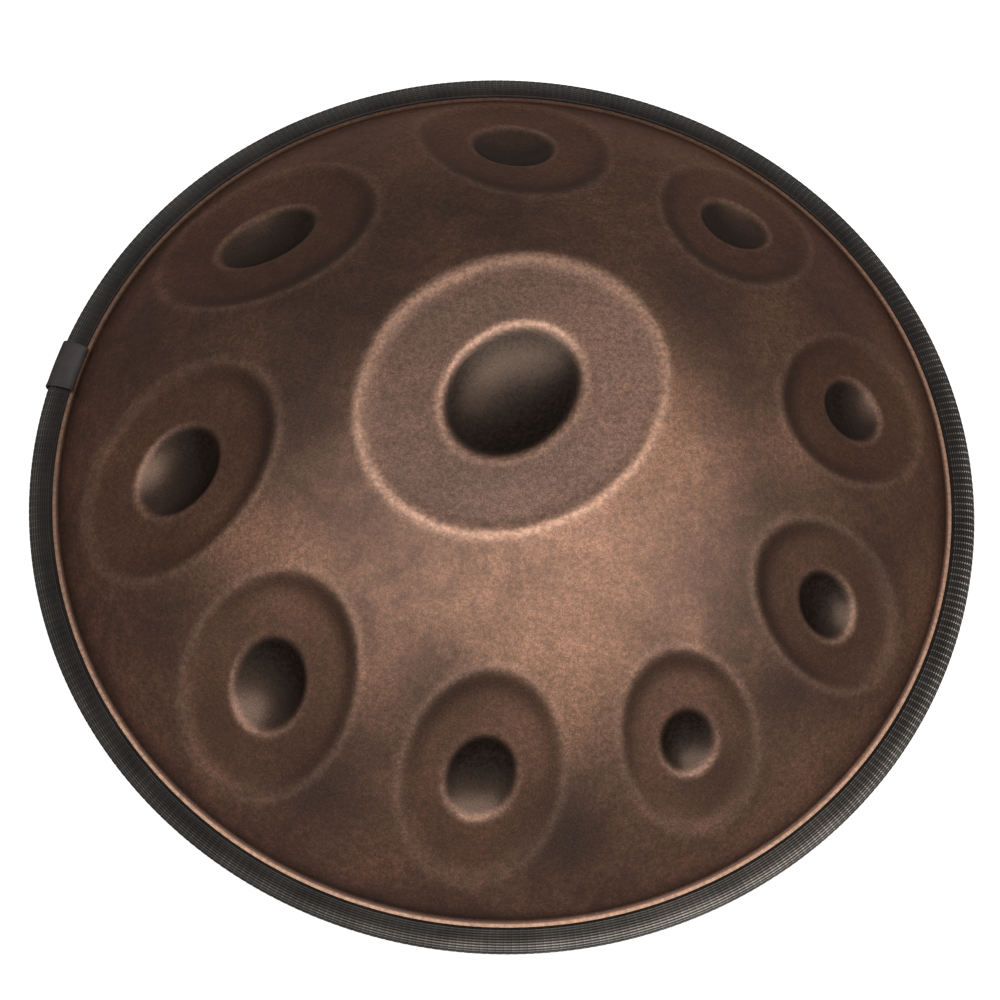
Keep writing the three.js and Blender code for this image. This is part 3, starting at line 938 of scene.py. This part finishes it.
RUBBER_BLACK = (0.013, 0.012, 0.012)
RUBBER_DUST = (0.024, 0.022, 0.021)
RUBBER_GRAIN = (0.036, 0.033, 0.031)
RUBBER_GLINT = (0.84, 0.77, 0.69)
CLIP_DARK = (0.042, 0.036, 0.037)
CLIP_STAIN = (0.062, 0.054, 0.054)
CLIP_MARK = (0.062, 0.056, 0.055)
EPOXY_DARK = (0.050, 0.034, 0.024)
EPOXY_LIGHT = (0.095, 0.066, 0.046)
STEEL_OILED = (0.42, 0.43, 0.45)
STEEL_DRY = (0.58, 0.58, 0.58)
STEEL_SCALE = (0.25, 0.24, 0.23)
DRAWN_ALONG = (1.0, 0.12, 1.0)
ROLLED_FLAT = (1, 1, 0.1)


def trim_rubber():
    """Matt black rubber with a slightly greyed, dusty surface, and painted glints on its rib crests."""
    f = Finish("trim_rubber")
    dust = f.spread(f.noise(22, 4, 0.6), 0.38, 0.68)
    grain = f.noise(0.5, 2, 0.6)
    tint = f.mix(dust, RUBBER_BLACK, RUBBER_DUST)
    tint = f.mix(f.spread(grain, 0.35, 0.75, 0, 0.5), tint, RUBBER_GRAIN)
    # Painted highlight: near-white glints on the rib crests.
    sheen = f.times(f.sums("POWER", f.mask("crest_glint"), 1.8), f.spread(dust, 0, 1, 0.65, 1.0))
    tint = f.mix(sheen, tint, RUBBER_GLINT)
    roughness = f.spread(f.noise(3, 3, 0.6), 0.3, 0.7, 0.34, 0.48)
    bumps = f.bump(grain, 0.03)
    return f.finish(Base_Color=tint, Roughness=roughness, Specular_IOR_Level=0.28, Normal=bumps)


def clip_rubber():
    """Smooth charcoal rubber with faint draw marks along it."""
    f = Finish("clip_rubber")
    marks = f.noise(1.1, 2, 0.5, stretch=DRAWN_ALONG)
    stains = f.spread(f.noise(9, 3, 0.6), 0.35, 0.7)
    tint = f.mix(stains, CLIP_DARK, CLIP_STAIN)
    tint = f.mix(f.spread(marks, 0.4, 0.7, 0, 0.4), tint, CLIP_MARK)
    roughness = f.spread(marks, 0.3, 0.7, 0.44, 0.56)
    return f.finish(Base_Color=tint, Roughness=roughness, Normal=f.bump(marks, 0.03))


def epoxy():
    """Cloudy brown epoxy."""
    f = Finish("flange_epoxy")
    swirl = f.spread(f.noise(6, 4, 0.6, distortion=1.5), 0.35, 0.65)
    tint = f.mix(swirl, EPOXY_DARK, EPOXY_LIGHT)
    roughness = f.spread(swirl, 0, 1, 0.34, 0.5)
    return f.finish(Base_Color=tint, Roughness=roughness, Normal=f.bump(f.noise(1.5, 3), 0.05))


def spring_steel():
    """Bare rolled steel with patches of oil."""
    f = Finish("core_spring_steel")
    rolled = f.noise(0.7, 3, 0.6, stretch=ROLLED_FLAT)
    oil = f.spread(f.noise(12, 3, 0.6), 0.35, 0.7)
    tint = f.mix(oil, STEEL_OILED, STEEL_DRY)
    tint = f.mix(f.spread(rolled, 0.4, 0.7, 0, 0.35), tint, STEEL_SCALE)
    roughness = f.spread(rolled, 0.3, 0.7, 0.26, 0.42)
    return f.finish(Base_Color=tint, Metallic=1.0, Roughness=roughness, Normal=f.bump(rolled, 0.02))


def dress(piece, material):
    """Gives a piece its one material."""
    piece.data.materials.clear()
    piece.data.materials.append(material)


# ---------------------------------------------------------------- stage


FLOOR_HALF_SIZE = 40.0  # metres, so that it fills a view from any height
FLOOR_COLOUR = (0.80, 0.79, 0.78)
FLOOR_GLOW = 0.80
FLOOR_REFLECTED = (0.30, 0.262, 0.245)
ROOM_TINT = (1.0, 0.985, 0.97)
ROOM_SHOWN = 1.03
ROOM_LIGHTER_SIDE = (0.30, -0.95, 0.05)
ROOM_RAMP = {"From Min": -0.5, "From Max": 1.0, "To Min": 0.19, "To Max": 0.32}
LIGHTS_AIM = Vector((0, 0, 0.12))

# Name, azimuth, tilt from straight up, distance, width, depth, watts and colour. Lengths are metres.
SOFTBOXES = (
    ("key", -66, 11, 2.0, 3.8, 1.6, 26, (1.0, 0.99, 0.975)),
    ("side", 38, 36, 2.0, 1.2, 0.9, 1.7, (1.0, 0.92, 0.86)),
)


def studio_floor():
    """A pale floor. The camera sees it lit from within, and the instrument reflects a dimmer one."""
    half = FLOOR_HALF_SIZE
    corners = [(-half, -half, 0), (half, -half, 0), (half, half, 0), (-half, half, 0)]
    mesh = bpy.data.meshes.new("studio_floor")
    mesh.from_pydata(corners, [], [(0, 1, 2, 3)])
    floor = bpy.data.objects.new("studio_floor", mesh)
    bpy.context.scene.collection.objects.link(floor)
    f = Finish("studio_floor")
    f.finish(Base_Color=FLOOR_COLOUR, Roughness=0.7, Specular_IOR_Level=0.1)
    rays = f.tree.nodes.new("ShaderNodeLightPath")
    glow = f.add("ShaderNodeEmission", {"Color": WHITE, "Strength": FLOOR_GLOW})
    shown = f.add("ShaderNodeAddShader", {0: f.shader.outputs[0], 1: glow})
    dim = f.add("ShaderNodeBsdfDiffuse", {"Color": FLOOR_REFLECTED})
    f.tree.links.new(
        f.add("ShaderNodeMixShader", {0: rays.outputs["Is Camera Ray"], 1: dim, 2: shown}),
        f.tree.nodes["Material Output"].inputs["Surface"],
    )
    mesh.materials.append(f.material)


def softbox(name, azimuth, tilt, distance, width, depth, power, colour):
    """A soft light aimed at the instrument, wide from left to right."""
    light = bpy.data.lights.new(name, "AREA")
    light.shape = "RECTANGLE"
    light.size = width
    light.size_y = depth
    light.energy = power
    light.color = colour
    lamp = bpy.data.objects.new(name, light)
    bpy.context.scene.collection.objects.link(lamp)
    azimuth, tilt = math.radians(azimuth), math.radians(tilt)
    flat = math.sin(tilt)
    aim = Vector((flat * math.cos(azimuth), flat * math.sin(azimuth), math.cos(tilt)))
    lamp.location = LIGHTS_AIM + aim * distance
    across = Vector((1, 0, 0)) - aim * aim.x
    across.normalize()
    turn = Matrix((across, aim.cross(across), aim)).transposed()
    lamp.rotation_mode = "QUATERNION"
    lamp.rotation_quaternion = turn.to_quaternion()


def studio_world():
    """Pale to the camera. In reflections it is a dim room, lighter towards the player's side."""
    world = bpy.data.worlds.new("studio")
    bpy.context.scene.world = world
    world.use_nodes = True
    tree = world.node_tree
    back = tree.nodes["Background"]
    rays = tree.nodes.new("ShaderNodeLightPath")
    where = tree.nodes.new("ShaderNodeTexCoord")
    towards = tree.nodes.new("ShaderNodeVectorMath")
    towards.operation = "DOT_PRODUCT"
    towards.inputs[1].default_value = ROOM_LIGHTER_SIDE
    tree.links.new(where.outputs["Generated"], towards.inputs[0])
    room = tree.nodes.new("ShaderNodeMapRange")
    room.interpolation_type = "SMOOTHSTEP"
    tree.links.new(towards.outputs["Value"], room.inputs["Value"])
    for key, value in ROOM_RAMP.items():
        room.inputs[key].default_value = value
    shown = tree.nodes.new("ShaderNodeMix")
    tree.links.new(rays.outputs["Is Camera Ray"], shown.inputs[0])
    tree.links.new(room.outputs[0], shown.inputs[2])
    shown.inputs[3].default_value = ROOM_SHOWN
    tree.links.new(shown.outputs[0], back.inputs["Strength"])
    back.inputs["Color"].default_value = (*ROOM_TINT, 1)


CAMERA_TILT = 22.4  # degrees from straight down
CAMERA_ROLL = 3.93
CAMERA_DISTANCE = 961.8
CAMERA_AIM = (-1.65, -20.2)
CAMERA_LENS = 58.32
CAMERA_SENSOR = 36


def player_camera(flange_face):
    """Above the player's side, looking down on the instrument, rolled slightly."""
    tilt, roll = math.radians(CAMERA_TILT), math.radians(CAMERA_ROLL)
    target = Vector((*CAMERA_AIM, flange_face)) * MM
    back = Vector((0, -math.sin(tilt), math.cos(tilt)))
    level = Vector((1, 0, 0))
    up = back.cross(level)
    right = level * math.cos(roll) + up * math.sin(roll)
    up = up * math.cos(roll) - level * math.sin(roll)
    data = bpy.data.cameras.new("camera")
    data.sensor_width = CAMERA_SENSOR
    data.lens = CAMERA_LENS
    camera = bpy.data.objects.new("camera", data)
    bpy.context.scene.collection.objects.link(camera)
    turn = Matrix((right, up, back)).transposed().to_4x4()
    camera.matrix_world = Matrix.Translation(target + back * CAMERA_DISTANCE * MM) @ turn
    bpy.context.scene.camera = camera


def main():
    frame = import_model()
    upper_box, lower_box, trim_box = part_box("ding_shell"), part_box("gu_shell"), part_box("rim_trim")
    upper_face = upper_box[0].z / MM + SHEET
    lower_face = lower_box[1].z / MM - SHEET
    middle = (trim_box[0].z + trim_box[1].z) / 2 / MM

    mesh, masks = upper_shell(upper_face)
    points = mesh.all_points()
    upper = make_piece("ding_shell_hammered", points, mesh.faces, "ding_shell", masks)
    dress(upper, shell_steel("upper_shell_steel", True))
    mesh = lower_shell(lower_face)
    lower = make_piece("gu_shell_turned", mesh.all_points(), mesh.faces, "gu_shell")
    dress(lower, shell_steel("lower_shell_steel", False))
    points, faces, facets, crest_glint = edge_trim(middle)
    trim = make_piece("rim_trim_ribbed", points, faces, "rim_trim", crest_glint, facets)
    dress(trim, trim_rubber())
    points, faces = joint_clip(middle)
    clip = make_piece("trim_joint_sleeve", points, faces, "trim_joint_clip")
    dress(clip, clip_rubber())
    dress(frame["nodes"]["flange_adhesive"], epoxy())
    dress(frame["nodes"]["trim_core"], spring_steel())

    studio_floor()
    studio_world()
    for light in SOFTBOXES:
        softbox(*light)
    player_camera(upper_face)
    bpy.context.scene.view_settings.view_transform = "Standard"


main()
